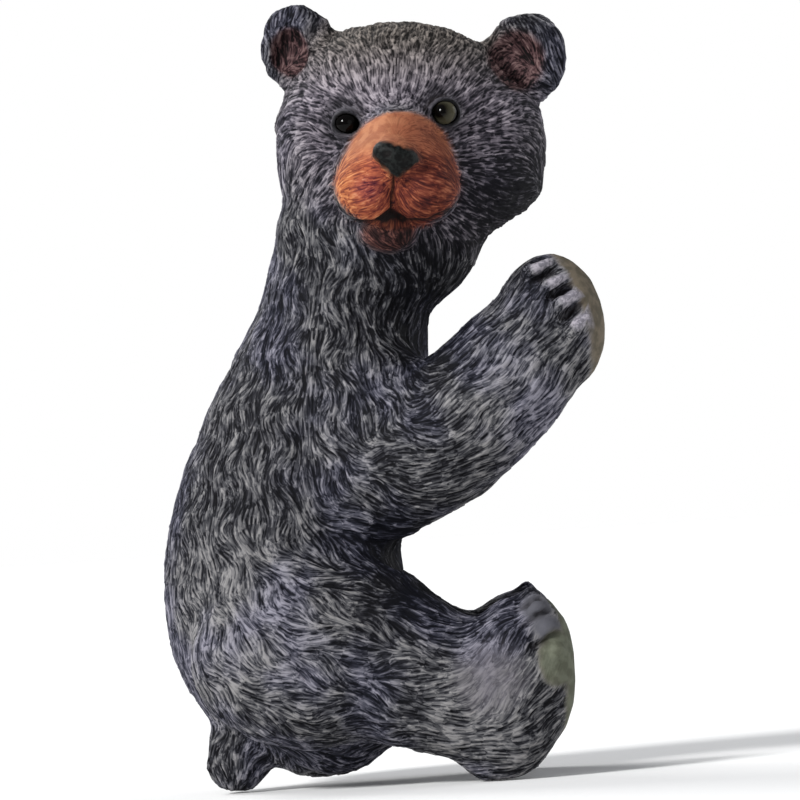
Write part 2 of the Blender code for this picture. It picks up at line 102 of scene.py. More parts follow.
# %% [markdown]
# ## Camera
#
# The photo looks at the cub's right side from a few metres away with a long lens, so the
# lines hardly converge. The camera keeps the figure's own upright, which gives the small
# roll that the photo has against the ground.

# %% Camera
PHOTO_PIXELS = 800
FIGURE_PIXELS = 790
DISTANCE = 3.5
SENSOR = 36.0
pixel = HEIGHT / FIGURE_PIXELS
aim = STAND @ Vector(((400 - 383.5) * pixel, 0, (795 - 400) * pixel))
camera_data = bpy.data.cameras.new("camera")
camera_data.sensor_width = SENSOR
camera_data.lens = SENSOR * DISTANCE / (PHOTO_PIXELS * pixel)
camera = bpy.data.objects.new("camera", camera_data)
camera.matrix_world = (Matrix.Translation((aim.x, -DISTANCE, aim.z)) @ TURN
                       @ Matrix.Rotation(math.pi / 2, 4, "X"))
bpy.context.scene.collection.objects.link(camera)
bpy.context.scene.camera = camera
print("lens", round(camera_data.lens), "mm, aimed at height", round(aim.z, 3))

# %% [markdown]
# ## Colours and nodes
#
# Paint colours are picked as sRGB hex values. Blender's shaders want linear light, so one
# function turns them. One more small function adds a node, with its settings, its input
# values and its links, and hands back an output to feed the next node with.

# %% Helpers for materials
def linear(code):
    """An sRGB hex colour as linear red, green, blue and alpha."""
    parts = [int(code[i:i + 2], 16) / 255 for i in (1, 3, 5)]
    return (*[p / 12.92 if p <= 0.04045 else ((p + 0.055) / 1.055) ** 2.4 for p in parts], 1.0)

def add(tree, kind, feeds=None, out=0, **settings):
    """Adds a node. Feeds are sockets to link, hex colours or plain values, by input."""
    node = tree.nodes.new("ShaderNode" + kind)
    for key, value in settings.items():
        setattr(node, key, value)
    for key, value in (feeds or {}).items():
        if isinstance(value, bpy.types.NodeSocket):
            tree.links.new(value, node.inputs[key])
        else:
            node.inputs[key].default_value = linear(value) if isinstance(value, str) else value
    return node.outputs[out]

def new_material(name):
    material = bpy.data.materials.new(name)
    material.use_nodes = True
    return material, material.node_tree, material.node_tree.nodes["Principled BSDF"].inputs

# %% [markdown]
# ## Studio
#
# A pale floor and soft lights, as for a catalogue picture. The main light is high on the
# left in front, a weak one fills from the right, one comes from behind, and a small one
# beside the camera puts the bright dot in the eyes. The backdrop is white to the camera,
# but it lights the figure only a little, so the carving keeps its shadows.

# %% Floor and light
FLOOR_RADIUS = 6.0
AMBIENT = 0.27
floor_mesh = bpy.data.meshes.new("studio_floor")
disc = bmesh.new()
bmesh.ops.create_circle(disc, cap_ends=True, segments=96, radius=FLOOR_RADIUS)
disc.to_mesh(floor_mesh)
disc.free()
floor = bpy.data.objects.new("studio_floor", floor_mesh)
bpy.context.scene.collection.objects.link(floor)
floor_paint, tree, inputs = new_material("matt studio paint")
cloud = add(tree, "TexNoise", {"Scale": 3.0, "Detail": 2.0})
tree.links.new(add(tree, "Mix", {0: cloud, 6: "#f7f7f6", 7: "#fcfcfb"}, 2, data_type="RGBA"),
               inputs["Base Color"])
inputs["Roughness"].default_value = 0.95
floor_mesh.materials.append(floor_paint)

world = bpy.data.worlds.new("studio")
world.use_nodes = True
tree = world.node_tree
seen = add(tree, "Background", {"Color": "#ffffff", "Strength": 1.0})
lighting = add(tree, "Background", {"Color": "#f4f7ff", "Strength": AMBIENT})
to_camera = add(tree, "LightPath")
tree.links.new(add(tree, "MixShader", {0: to_camera, 1: lighting, 2: seen}),
               tree.nodes["World Output"].inputs["Surface"])
bpy.context.scene.world = world
bpy.context.scene.view_settings.view_transform = "Standard"

# name, direction to the light, strength in watts per square metre, width in degrees
LIGHTS = (
    ("key", (-0.85, -0.80, 0.68), 3.5, 14),
    ("fill", (0.50, -1.00, 0.30), 0.22, 40),
    ("back", (-0.60, 0.75, 0.70), 1.5, 30),
    ("front side", (1.00, 0.30, 0.30), 0.8, 40),
    ("catch", (-0.30, -1.00, -0.30), 0.22, 7),
)
for name, towards, strength, width in LIGHTS:
    light = bpy.data.lights.new(name, "SUN")
    light.energy = strength
    light.angle = math.radians(width)
    lamp = bpy.data.objects.new(name, light)
    lamp.rotation_euler = Vector(towards).to_track_quat("Z", "Y").to_euler()
    bpy.context.scene.collection.objects.link(lamp)
print(len(LIGHTS), "lights")

# %% [markdown]
# ## The clay body
#
# The solid has broad facets and large locks. Modelling clay has neither, so the body is
# wrapped in one even skin (a voxel remesh) and rubbed smooth. Working twice, first with a
# coarse skin and then with a fine one, is much quicker than rubbing the fine one alone.
# Between the two, fresh clay goes on the face, toes and claws, because rubbing wears small
# forms away.

# %% Clay tools
COARSE_SKIN = 0.0014
FINE_SKIN = 0.00058

def place(shares):
    return Vector(shares) * HEIGHT

def other_side(shares):
    return (shares[0], -shares[1], *shares[2:])

def ball_mesh(segments):
    ball = bmesh.new()
    bmesh.ops.create_uvsphere(ball, u_segments=segments, v_segments=segments * 2 // 3, radius=1.0)
    points = np.array([v.co for v in ball.verts])
    faces = [[v.index for v in f.verts] for f in ball.faces]
    ball.free()
    return points, faces

BALL = ball_mesh(30)
SMALL_BALL = ball_mesh(12)

class Clay:
    """Loose, overlapping masses that a skin will join into one."""

    def __init__(self):
        self.points, self.faces = [], []

    def add(self, points, faces):
        start = sum(len(p) for p in self.points)
        self.points.append(np.array(points))
        self.faces += [[start + i for i in face] for face in faces]

    def ball(self, middle, radii, tilt=0.0, shape=BALL):
        """A rounded mass: middle and radii in metres, tilt in degrees in the photo's plane."""
        form = Matrix.Rotation(math.radians(tilt), 3, "Y") @ Matrix.Diagonal(radii)
        self.add(shape[0] @ np.array(form).T + np.array(middle), shape[1])

    def mesh(self, *others):
        for other in others:
            self.add(points_of(other), [tuple(p.vertices) for p in other.polygons])
            bpy.data.meshes.remove(other)
        joined = bpy.data.meshes.new("clay")
        joined.from_pydata(np.concatenate(self.points).tolist(), [], self.faces)
        return joined

def skinned(mesh, grain, passes):
    """One even skin over overlapping forms, rubbed smooth."""
    item = bpy.data.objects.new("clay", mesh)
    bpy.context.scene.collection.objects.link(item)
    skin = item.modifiers.new("skin", "REMESH")
    skin.mode = "VOXEL"
    skin.voxel_size = grain
    rub = item.modifiers.new("rub", "SMOOTH")
    rub.factor = 0.5
    rub.iterations = passes
    graph = bpy.context.evaluated_depsgraph_get()
    result = bpy.data.meshes.new_from_object(item.evaluated_get(graph), depsgraph=graph)
    bpy.data.objects.remove(item, do_unlink=True)
    bpy.data.meshes.remove(mesh)
    return result

def points_of(mesh, what="co"):
    values = np.empty(len(mesh.vertices) * 3, np.float32)
    mesh.vertices.foreach_get(what, values)
    return values.reshape(-1, 3).astype(float)

# %% Body from the solid
body = frame["nodes"]["bear"].data.copy()
body.transform(STAND.inverted())
weld = bmesh.new()
weld.from_mesh(body)
bmesh.ops.remove_doubles(weld, verts=weld.verts, dist=1e-6)
weld.to_mesh(body)
weld.free()
EYE_RADIUS = (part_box("eye_left")[1].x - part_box("eye_left")[0].x) / 2
eye_centres = {name: STAND.inverted() @ eye_middle(name) for name in EYES}
SOCKET_FILL = 1.12
clay = Clay()
for centre in eye_centres.values():
    clay.ball(centre, [EYE_RADIUS * SOCKET_FILL] * 3)
body = skinned(clay.mesh(body), COARSE_SKIN, 14)
print("coarse skin", len(body.vertices), "points")

# %% [markdown]
# ## Face, toes and claws
#
# The muzzle is two round lip pads under a broad bridge, with a small chin below and the nose
# in front. Each toe is a small ball, and each claw of the paws a thin tapered ridge that
# lies along its toe. Toes and claws are placed on the skin as seen from the side.

# %% Fresh clay
MUZZLE = (
    ((0.0165, -0.196, 0.792), (0.060, 0.070, 0.054), 0),
    ((-0.0205, -0.210, 0.7615), (0.043, 0.058, 0.0445), 0),
    ((0.0520, -0.208, 0.7620), (0.045, 0.058, 0.0445), 0),
    ((0.0070, -0.156, 0.7100), (0.040, 0.046, 0.028), 0),
)
NOSE = (
    ((0.0152, -0.266, 0.8030), (0.0295, 0.023, 0.0180), 16),
    ((0.0150, -0.260, 0.7880), (0.0160, 0.020, 0.0165), 10),
)
CLAW_THICKNESS = 0.0036
CLAW_RINGS = 8
TOE_RADIUS = 0.0046
TOE_SUNK = 0.0030
# forward and up of each claw's root and tip
PAW_CLAWS = (
    ((0.1835, 0.6590), (0.2070, 0.6770)),
    ((0.2040, 0.6420), (0.2250, 0.6555)),
    ((0.2195, 0.6190), (0.2420, 0.6350)),
    ((0.2340, 0.5880), (0.2570, 0.6070)),
)
FOOT_TOES = ((0.1920, 0.2380), (0.2050, 0.2140), (0.2150, 0.1860))
# forward and up of both ends of each gap between two toes
PAW_GAPS = (
    ((0.1880, 0.6480), (0.2180, 0.6680)),
    ((0.2050, 0.6280), (0.2370, 0.6470)),
    ((0.2200, 0.6010), (0.2520, 0.6230)),
)
FOOT_GAPS = (
    ((0.1611, 0.2369), (0.2033, 0.2543)),
    ((0.1710, 0.2195), (0.2108, 0.2394)),
    ((0.1859, 0.1910), (0.2244, 0.2120)),
)

def on_skin(points, spot, side):
    """The outermost point of the skin at a forward and up share, on the side given by sign."""
    across = np.hypot(points[:, 0] - spot[0] * HEIGHT, points[:, 2] - spot[1] * HEIGHT)
    near = points[across < 0.0025]
    near = near if len(near) else points[[across.argmin()]]
    return Vector((spot[0] * HEIGHT, side * (near[:, 1] * side).max(), spot[1] * HEIGHT))

coarse = points_of(body)
clay = Clay()
for centre, radii, tilt in (*MUZZLE, *NOSE):
    clay.ball(place(centre), place(radii), tilt)
claws, gaps, toes = [], [], []
for side in (-1, 1):
    out = Vector((0, side, 0))
    for root, tip in PAW_CLAWS:
        root, tip = on_skin(coarse, root, side), on_skin(coarse, tip, side)
        clay.ball(root - out * TOE_SUNK, [TOE_RADIUS] * 3)
        claws.append((root, tip))
        for k in range(CLAW_RINGS):
            share = k / (CLAW_RINGS - 1)
            girth = CLAW_THICKNESS / 2 * (1 - 0.65 * share**2)
            clay.ball(root.lerp(tip, share) + out * 0.0002, [girth] * 3, shape=SMALL_BALL)
    for toe in FOOT_TOES:
        toes.append(on_skin(coarse, toe, side) - out * TOE_SUNK)
        clay.ball(toes[-1], [TOE_RADIUS] * 3)
    for start, end in (*PAW_GAPS, *FOOT_GAPS):
        gaps.append((on_skin(coarse, start, side), on_skin(coarse, end, side)))
body = skinned(clay.mesh(body), FINE_SKIN, 9)
skin = points_of(body)
normals = points_of(body, "normal")
print("fine skin", len(skin), "points,", len(claws), "claws,", len(toes), "foot toes")

# %% [markdown]
# ## Where is what
#
# Carving and paint both need to know the zones: muzzle, nose, inner ears, pads, claws and
# lids. Each zone is a soft mask, 1 inside and 0 outside, worked out from distances.

# %% Masks
def fade(value, inner, outer):
    """1 below inner, 0 above outer, with a soft step between."""
    t = np.clip((outer - value) / (outer - inner), 0.0, 1.0)
    return t * t * (3 - 2 * t)

def away(points, shares):
    return np.linalg.norm(points - np.array(place(shares)), axis=1)

def from_line(points, start, end):
    start, end = np.array(start), np.array(end)
    share = np.clip((points - start) @ (end - start) / ((end - start) @ (end - start)), 0, 1)
    return np.linalg.norm(points - start - share[:, None] * (end - start), axis=1), share

def unit(vectors):
    return vectors / np.maximum(np.linalg.norm(vectors, axis=1, keepdims=True), 1e-9)

MUZZLE_FACE = ((0.0172, 0.7700), (0.0810, 0.0600))
MUZZLE_TOP = ((0.0215, 0.8110), (0.0600, 0.0490))
CHIN = ((0.0060, 0.7080), (0.0380, 0.0260))
# corners of the painted nose, as forward and up, in the order left, top, right, bottom
NOSE_SHIELD = ((-0.0160, 0.8030), (-0.0080, 0.8235), (0.0420, 0.8085), (0.0455, 0.7960), (0.0200, 0.7745),
               (0.0110, 0.7755))
MOUTH_DARK = ((-0.0090, 0.7205), (0.0105, 0.7360), (0.0285, 0.7225), (0.0100, 0.7185))
# blushes of darker red on the lips, and the ochre edge, as middles and radii
BLUSHES = (((-0.0180, 0.7620), (0.030, 0.026)), ((0.0600, 0.7700), (0.036, 0.034)))
OCHRE_EDGE = (-0.050, -0.018)
FACE_FRONT = -0.125
EARS = (((-0.120, -0.040, 0.940), (0.026, 0.034)), ((0.168, -0.040, 0.930), (0.040, 0.044)))
PAW = (0.2115, -0.142, 0.596)
FOOT = (0.160, -0.132, 0.138)
PALM_FACING = Vector((0.86, 0.42, 0.28)).normalized()
SOLE_FACING = Vector((0.95, 0.28, 0.08)).normalized()
PADS = ((PAW, PALM_FACING, 0.018), (FOOT, SOLE_FACING, 0.059))
SOLE_SIDE = ((0.2195, 0.1774), (0.026, 0.036))
# the worn top of the foot, where the strokes are faint: middle, inner and outer reach
FOOT_TOP = ((0.134, -0.180, 0.152), 0.018, 0.062)
PAD_EDGE = 0.004
# painted light where light falls (1) and painted shade where shade falls (-1), as middles and radii
PAINTED_LIGHT_AND_SHADE = (
    (1, ((0.170, 0.500), (0.110, 0.110))),
    (1, ((-0.170, 0.210), (0.150, 0.150))),
    (1, ((0.120, 0.120), (0.090, 0.100))),
    (0.9, ((0.000, 0.890), (0.130, 0.070))),
    (0.4, ((-0.110, 0.790), (0.060, 0.090))),
    (-1.4, ((0.160, 0.750), (0.080, 0.080))),
    (-1, ((0.050, 0.620), (0.080, 0.130))),
    (-1.6, ((0.030, 0.290), (0.090, 0.080))),
)

def oval(points, centre, radii):
    """Distance from an oval's middle in the plane of the face, 1 on its rim."""
    across = (points[:, 0] / HEIGHT - centre[0]) / radii[0]
    up = (points[:, 2] / HEIGHT - centre[1]) / radii[1]
    return np.hypot(across, up)

def shield(points, corners, soft):
    """1 inside a convex outline in the plane of the face, its corners given clockwise."""
    inside = np.ones(len(points))
    for (x0, z0), (x1, z1) in zip(corners, corners[1:] + corners[:1]):
        outward = (x1 - x0) * (points[:, 2] / HEIGHT - z0) - (z1 - z0) * (points[:, 0] / HEIGHT - x0)
        inside = inside * fade(outward / math.hypot(x1 - x0, z1 - z0), -soft, soft)
    return inside

def pads(points):
    """Bare skin of palms and soles: 1 where the skin lies beyond the fur's edge."""
    bare = np.zeros(len(points))
    for mirror in (tuple, other_side):
        for centre, facing, depth in PADS:
            out = (points - np.array(place(mirror(centre)))) @ np.array(mirror(facing)) / HEIGHT
            near = fade(away(points, mirror(centre)) / HEIGHT, 0.120, 0.140)
            bare = np.maximum(bare, near * (1 - fade(out, depth - PAD_EDGE, depth + PAD_EDGE)))
    bare = np.maximum(bare, fade(oval(points, *SOLE_SIDE), 0.80, 1.10))
    return bare

def masks(points):
    front = fade(points[:, 1] / HEIGHT, FACE_FRONT - 0.02, FACE_FRONT + 0.02)
    up = points[:, 2] / HEIGHT
    found = {}
    muzzle = -np.log(sum(np.exp(-7 * oval(points, *part)) for part in (MUZZLE_FACE, MUZZLE_TOP))) / 7
    found["muzzle"] = fade(muzzle, 0.84, 1.09) * front
    found["bridge"] = found["muzzle"] * (1 - fade(up, 0.790, 0.822))
    # painted shade: the side of the muzzle away from the light is painted darker
    found["painted_muzzle_shade"] = found["muzzle"] * (1 - fade(points[:, 0] / HEIGHT, -0.015, 0.050))
    found["chin"] = fade(oval(points, *CHIN), 0.75, 1.15) * front * fade(up, 0.714, 0.726)
    found["nose"] = shield(points, NOSE_SHIELD, 0.0014) * fade(points[:, 1] / HEIGHT, -0.262, -0.250)
    blush = [fade(oval(points, *spot), 0.2, 1.0) for spot in BLUSHES]
    found["blush"] = np.maximum(*blush) * found["muzzle"]
    found["ochre"] = found["muzzle"] * fade(points[:, 0] / HEIGHT, *OCHRE_EDGE)
    found["ear"] = np.zeros(len(points))
    for centre, radii in EARS:
        inner = fade(oval(points, (centre[0], centre[2]), radii), 0.70, 1.05) * (normals[:, 1] < 0.1)
        inner = inner * fade(np.abs(points[:, 1] / HEIGHT - centre[1]), 0.040, 0.056)
        found["ear"] = np.maximum(found["ear"], inner)
    found["crown"] = on_head(points) * (1 - fade(up, 0.875, 0.970))
    found["pad"] = pads(points)
    found["claw"], found["toe"] = np.zeros(len(points)), np.zeros(len(points))
    for start, end in claws:
        near, share = from_line(points, start, end)
        found["claw"] = np.maximum(found["claw"], fade(near, 0.0021, 0.0029) * fade(-share, -0.25, 0.0))
    for toe in toes:
        near = np.linalg.norm(points - np.array(toe), axis=1)
        found["toe"] = np.maximum(found["toe"], fade(near, TOE_RADIUS * 1.1, TOE_RADIUS * 1.9))
    found["lid"], found["painted_eye_shade"] = np.zeros(len(points)), np.zeros(len(points))
    for centre in eye_centres.values():
        near = np.linalg.norm(points - np.array(centre), axis=1)
        found["lid"] = np.maximum(found["lid"], fade(near, EYE_RADIUS * 1.25, EYE_RADIUS * 1.55))
        # painted shade round each eye, heaviest above it, under the brow
        lifted = np.linalg.norm(points - np.array(centre) - (-0.0022, 0, 0.0018), axis=1)
        found["painted_eye_shade"] = np.maximum(found["painted_eye_shade"], fade(lifted, EYE_RADIUS * 1.30, EYE_RADIUS * 2.8))
    found["sole"] = found["pad"] * fade(up, 0.30, 0.32)
    # painted light and shade: paler where light falls on the body and head, darker where shade falls
    found["brushed"] = sum(sign * fade(oval(points, *spot), 0.2, 1.2) for sign, spot in PAINTED_LIGHT_AND_SHADE)
    found["soft"] = np.zeros(len(points))
    for mirror in (tuple, other_side):
        near = away(points, mirror(FOOT_TOP[0])) / HEIGHT
        found["soft"] = np.maximum(found["soft"], fade(near, *FOOT_TOP[1:]))
    return found

HEAD_CENTRE = (0.034, -0.035, 0.840)
HEAD_REACH = (0.150, 0.195)

def on_head(points):
    return fade(away(points, HEAD_CENTRE) / HEIGHT, *HEAD_REACH)

zone = masks(skin)
for name, mask in zone.items():
    print(name, int((mask > 0.5).sum()), "points")

# %% [markdown]
# ## Modelling the face
#
# Small forms are pressed into the skin along its normals: the hollows of the ears, the lip
# cleft and mouth, the nostrils and the gaps between the toes.

# %% Press the face and toes
# start and end as forward and up, half width, depth
MOUTH = (
    ((0.0125, 0.7760), (0.0112, 0.7370), 0.0006, 0.0011),
    ((0.0105, 0.7360), (-0.0090, 0.7215), 0.0007, 0.0012),
    ((-0.0090, 0.7210), (-0.0400, 0.7205), 0.0006, 0.0010),
    ((0.0105, 0.7360), (0.0285, 0.7230), 0.0007, 0.0012),
    ((0.0285, 0.7230), (0.0560, 0.7225), 0.0006, 0.0010),
    ((0.0560, 0.7225), (0.0830, 0.7360), 0.0006, 0.0009),
)
NOSTRILS = ((0.0035, -0.290, 0.8030), (0.0300, -0.290, 0.7950))
EAR_DEPTH = 0.0028
TOE_GAP_WIDTH = 0.0013
TOE_GAP_DEPTH = 0.0024
depth = np.zeros(len(skin))
mouth_dark = np.zeros(len(skin))
on_muzzle = fade(skin[:, 1] / HEIGHT, -0.18, -0.15)
flat = skin.copy()
flat[:, 1] = 0
for (x0, z0), (x1, z1), width, deep in MOUTH:
    near, _ = from_line(flat, Vector((x0, 0, z0)) * HEIGHT, Vector((x1, 0, z1)) * HEIGHT)
    groove = np.exp(-(near / width) ** 2) * on_muzzle
    depth = np.minimum(depth, -deep * groove)
    mouth_dark = np.maximum(mouth_dark, groove)
mouth_dark = np.maximum(mouth_dark, shield(skin, MOUTH_DARK, 0.0012) * on_muzzle)
for nostril in NOSTRILS:
    hole = np.exp(-(away(skin, nostril) / 0.0022) ** 2)
    depth -= 0.0018 * hole
    mouth_dark = np.maximum(mouth_dark, hole)
for centre, radii in EARS:
    hollow = fade(oval(skin, (centre[0], centre[2]), radii), 0.3, 1.1)
    depth -= EAR_DEPTH * hollow * (normals[:, 1] < 0)
gap_dark = np.zeros(len(skin))
for start, end in gaps:
    near, share = from_line(skin, start, end)
    groove = np.exp(-(near / TOE_GAP_WIDTH) ** 2) * np.sqrt(np.clip(4 * share * (1.15 - share), 0, 1))
    gap_dark = np.maximum(gap_dark, groove)
depth -= TOE_GAP_DEPTH * gap_dark
skin += normals * depth[:, None]
print("deepest press", round(-depth.min() * 1000, 2), "mm")

# %% [markdown]
# ## The lie of the fur
#
# Fur lies backwards over the head, down the neck and back, and along each limb. A few vanes
# give its direction, like wind vanes on a map, and between them it turns smoothly. On top of
# that the carver lets it swing in soft waves, strongest on the neck and back.

# %% The lie of the fur
VANES = (
    ((-0.16, 0.00, 0.66), (-0.30, 0.0, -1.0)),
    ((-0.22, 0.00, 0.48), (-0.25, 0.0, -1.0)),
    ((-0.28, 0.00, 0.30), (-0.05, 0.0, -1.0)),
    ((-0.25, -0.04, 0.16), (0.35, 0.0, -0.9)),
    ((-0.20, 0.00, 0.05), (-0.30, 0.0, -1.0)),
    ((-0.09, -0.12, 0.62), (-0.05, 0.0, -1.0)),
    ((-0.13, -0.12, 0.50), (-0.10, 0.0, -1.0)),
    ((-0.16, -0.13, 0.38), (0.05, 0.0, -1.0)),
    ((0.05, 0.00, 0.60), (0.0, 0.0, -1.0)),
    ((0.03, 0.00, 0.36), (0.0, 0.0, -1.0)),
    ((-0.02, -0.15, 0.50), (0.30, 0.0, -1.0)),
    ((0.02, -0.17, 0.42), (0.90, 0.0, -0.1)),
    ((0.11, -0.19, 0.48), (0.77, 0.0, 0.64)),
    ((0.19, -0.20, 0.58), (0.62, 0.0, 0.78)),
    ((-0.17, -0.17, 0.25), (0.45, 0.0, -0.9)),
    ((-0.10, -0.18, 0.28), (0.85, 0.0, -0.5)),
    ((-0.10, -0.19, 0.17), (0.90, 0.0, -0.3)),
    ((-0.02, -0.19, 0.22), (0.95, 0.0, -0.2)),
    ((0.03, -0.17, 0.24), (0.85, 0.0, -0.5)),
    ((-0.06, -0.17, 0.08), (0.95, 0.0, -0.3)),
    ((0.06, -0.18, 0.14), (1.0, 0.0, -0.1)),
    ((0.14, -0.19, 0.16), (0.5, 0.0, 0.85)),
    ((0.12, -0.18, 0.05), (0.95, 0.0, 0.2)),
)
VANE_SOFTNESS = 0.030
FUR_PARTING = (0.016, -0.262, 0.800)
LIP_MIDDLE = (0.0165, 0.0, 0.795)
LIP_SPREAD = (1.0, 0.0, 0.35)
# direction of each wave, its length in metres, its swing in radians, its start
WAVES = (
    ((0.35, 0.30, 0.88), 0.026, 0.38, 0.0),
    ((-0.50, 0.60, 0.62), 0.019, 0.25, 2.1),
    ((0.80, -0.45, 0.40), 0.011, 0.16, 4.0),
)
HEAD_CALM = 0.6
LIMB_CALM = 0.5

def fur_flow(points, normals):
    folded = points * (1, -1, 1)
    folded[points[:, 1] < 0] = points[points[:, 1] < 0]
    flow = np.zeros_like(points)
    for spot, way in VANES:
        near = away(folded, spot) / HEIGHT
        flow += unit(np.array([way])) / (near[:, None] ** 2 + VANE_SOFTNESS**2) ** 2
    flow = unit(flow)
    flow[points[:, 1] > 0] *= (1, -1, 1)
    head = on_head(points)[:, None]
    flow = flow * (1 - head) + unit(points - np.array(place(FUR_PARTING))) * head
    lip = zone["muzzle"][:, None]
    flow = flow * (1 - lip) + unit((points - np.array(place(LIP_MIDDLE))) * LIP_SPREAD) * lip
    flow = unit(flow - normals * (flow * normals).sum(axis=1, keepdims=True))
    swing = sum(turn * np.sin(points @ np.array(way) * 2 * math.pi / wave + start)
                for way, wave, turn, start in WAVES)
    limb = fade(-points[:, 0] / HEIGHT, -0.10, 0.0)
    swing = swing[:, None] * (1 - HEAD_CALM * head) * (1 - LIMB_CALM * limb[:, None]) * (1 - lip)
    return unit(flow * np.cos(swing) + np.cross(normals, flow) * np.sin(swing))

body.vertices.foreach_set("co", skin.ravel())
body.update()
normals = points_of(body, "normal")
flow = fur_flow(skin, normals)

# %% [markdown]
# ## Strokes of fur
#
# The carver first parts the fur into locks and then scores each lock with finer strokes. A
# stroke is a few millimetres long on the face and longer on the body, it follows the lie of
# the fur, and it never runs across a stroke that is already there. A texture could fake it,
# but real grooves catch the light and hold paint. So strokes are laid one by one: a random
# point with enough room starts one, it is traced both ways over the skin until it is long
# enough or meets a neighbour, and every point near it learns how far it is from the line.

# %% Lay strokes
HEAD_SCALE = {"lock": (0.62, 0.45), "hair": (0.74, 0.40)}
BODY_LOCK, BODY_HAIR = (0.0068, 0.0230), (0.0019, 0.0140)
FACE_HAIR = (0.0012, 0.0021)
CROWDING = 0.80
CLOSEST = 0.42
# strokes that reach most of their length are laid first, then shorter ones fill in
SHORTEST = (0.75, 0.35)
head = on_head(skin)
short = np.clip(zone["muzzle"] + zone["chin"] * 0.6, 0, 1)
no_fur = np.maximum.reduce([zone[name] for name in ("nose", "pad", "claw", "lid", "toe", "bridge")])

tree = kdtree.KDTree(len(skin))
for i, point in enumerate(skin.tolist()):
    tree.insert(point, i)
tree.balance()

def lay(pitch, length, step, seed):
    """Distance of each point to its nearest stroke, its place along it, and its strength."""
    generator = np.random.default_rng(seed)
    gap, along, strong = np.full(len(skin), 1.0), np.zeros(len(skin)), np.zeros(len(skin))
    tried = np.zeros(len(skin))

    def trace(start, way, reach):
        spots = []
        spot, at = Vector(skin[start]), start
        for _ in range(int(reach / step)):
            spot = spot + Vector(flow[at]) * (step * way)
            near, at, _ = tree.find(spot)
            out = Vector(normals[at])
            spot -= out * (spot - near).dot(out)
            if gap[at] < CLOSEST * pitch[at] or no_fur[at] > 0.5:
                break
            spots.append((spot, at))
        return spots

    count = 0
    for start, least in [(i, least) for least in SHORTEST for i in generator.permutation(len(skin))]:
        if tried[start] == least or gap[start] < CROWDING * pitch[start] or no_fur[start] > 0.4:
            continue
        wanted = length[start] * generator.uniform(0.7, 1.4)
        split = generator.uniform(0.3, 0.7)
        run = trace(start, -1, wanted * split)[::-1] + [(Vector(skin[start]), start)]
        run += trace(start, 1, wanted * (1 - split))
        if len(run) * step < least * wanted:
            tried[[item[1] for item in tree.find_range(skin[start], 0.4 * pitch[start])]] = least
            continue
        power = generator.uniform(0.0, 1.0)
        for k, (spot, at) in enumerate(run):
            index = np.array([item[1] for item in tree.find_range(spot, 1.15 * pitch[start])])
            offset = skin[index] - np.array(spot)
            ahead = np.abs(offset @ flow[at])
            apart = np.sqrt(np.maximum((offset**2).sum(axis=1) - ahead**2, 0))
            apart = np.hypot(apart, np.maximum(ahead - step / 2, 0))
            closer = apart < gap[index]
            index = index[closer]
            gap[index] = apart[closer]
            along[index] = (k + 0.5) / len(run)
            strong[index] = power
        count += 1
    return gap, along, strong, count

def sizes(body, on_the_head, on_the_face):
    """Pitch and length at every point, for body, head and face."""
    return [b + (h - b) * head + (f - h) * short for b, h, f in zip(body, on_the_head, on_the_face)]

# %% Locks, then hair
head_lock = [size * scale for size, scale in zip(BODY_LOCK, HEAD_SCALE["lock"])]
head_hair = [size * scale for size, scale in zip(BODY_HAIR, HEAD_SCALE["hair"])]
lock_pitch, lock_length = sizes(BODY_LOCK, head_lock, head_lock)
hair_pitch, hair_length = sizes(BODY_HAIR, head_hair, FACE_HAIR)
lock_gap, lock_along, lock_strong, count = lay(lock_pitch, lock_length, 0.0024, 3)
print(count, "locks")
gap, along, strong, count = lay(hair_pitch, hair_length, 0.0009, 11)
print(count, "strokes")

# %% [markdown]
# ## Carve them
#
# A groove is narrow at its bottom and rounds over to the ridge between two strokes. It
# fades in and out at its ends. A lock is lowest at its root and along its sides and
# stands out at its tip, where it laps over the next one. Nothing rises above the smooth
# skin, so the figure stays within the size of the solid.

# %% Carve
BODY_DEPTH, HEAD_DEPTH, FACE_DEPTH = 0.00080, 0.00055, 0.00026
LOCK_DEPTH, HEAD_LOCK_DEPTH = 0.00125, 0.00050
FAR_SIDE_DEPTH = 0.75
furry = 1 - no_fur
deepness = BODY_DEPTH + (HEAD_DEPTH - BODY_DEPTH) * head + (FACE_DEPTH - HEAD_DEPTH) * short
side = np.clip(gap / (0.62 * hair_pitch), 0, 1)
ends = np.clip(np.minimum(along, 1 - along) * 5, 0.15, 1)
power = ends * (0.55 + 0.45 * strong - 0.35 * short * (1 - strong)) * (1 - 0.8 * zone["soft"])
power = power * (1 - 0.35 * short)
groove = np.exp(-((side / 0.45) ** 2)) * power * furry
lock_side = np.clip(lock_gap / (0.5 * lock_pitch), 0, 1)
lock_side = lock_side * lock_side * (3 - 2 * lock_side)
lock_height = (0.60 * lock_side + 0.40 * lock_along) * furry + (1 - furry)
lock_deep = LOCK_DEPTH + (HEAD_LOCK_DEPTH - LOCK_DEPTH) * head
lock_deep = lock_deep * (1 - 0.9 * short)
plain = 1 - (1 - FAR_SIDE_DEPTH) * fade(-skin[:, 1], -0.045, -0.015)
skin -= normals * ((deepness * groove + lock_deep * (1 - lock_height)) * plain)[:, None]
relief = 1 - power * (1 - side) * furry
print("grooves cover", round(float((groove > 0.4).mean()) * 100), "per cent")

# %% [markdown]
# ## Eye sockets and lids
#
# The lids are two soft rims that follow the ball of the eye. The skin inside the opening
# is drawn back round the ball, so that the eye sits in a true socket with a thin gap, and
# the skin outside is pushed clear of it. A shallow fold runs round above each lid.

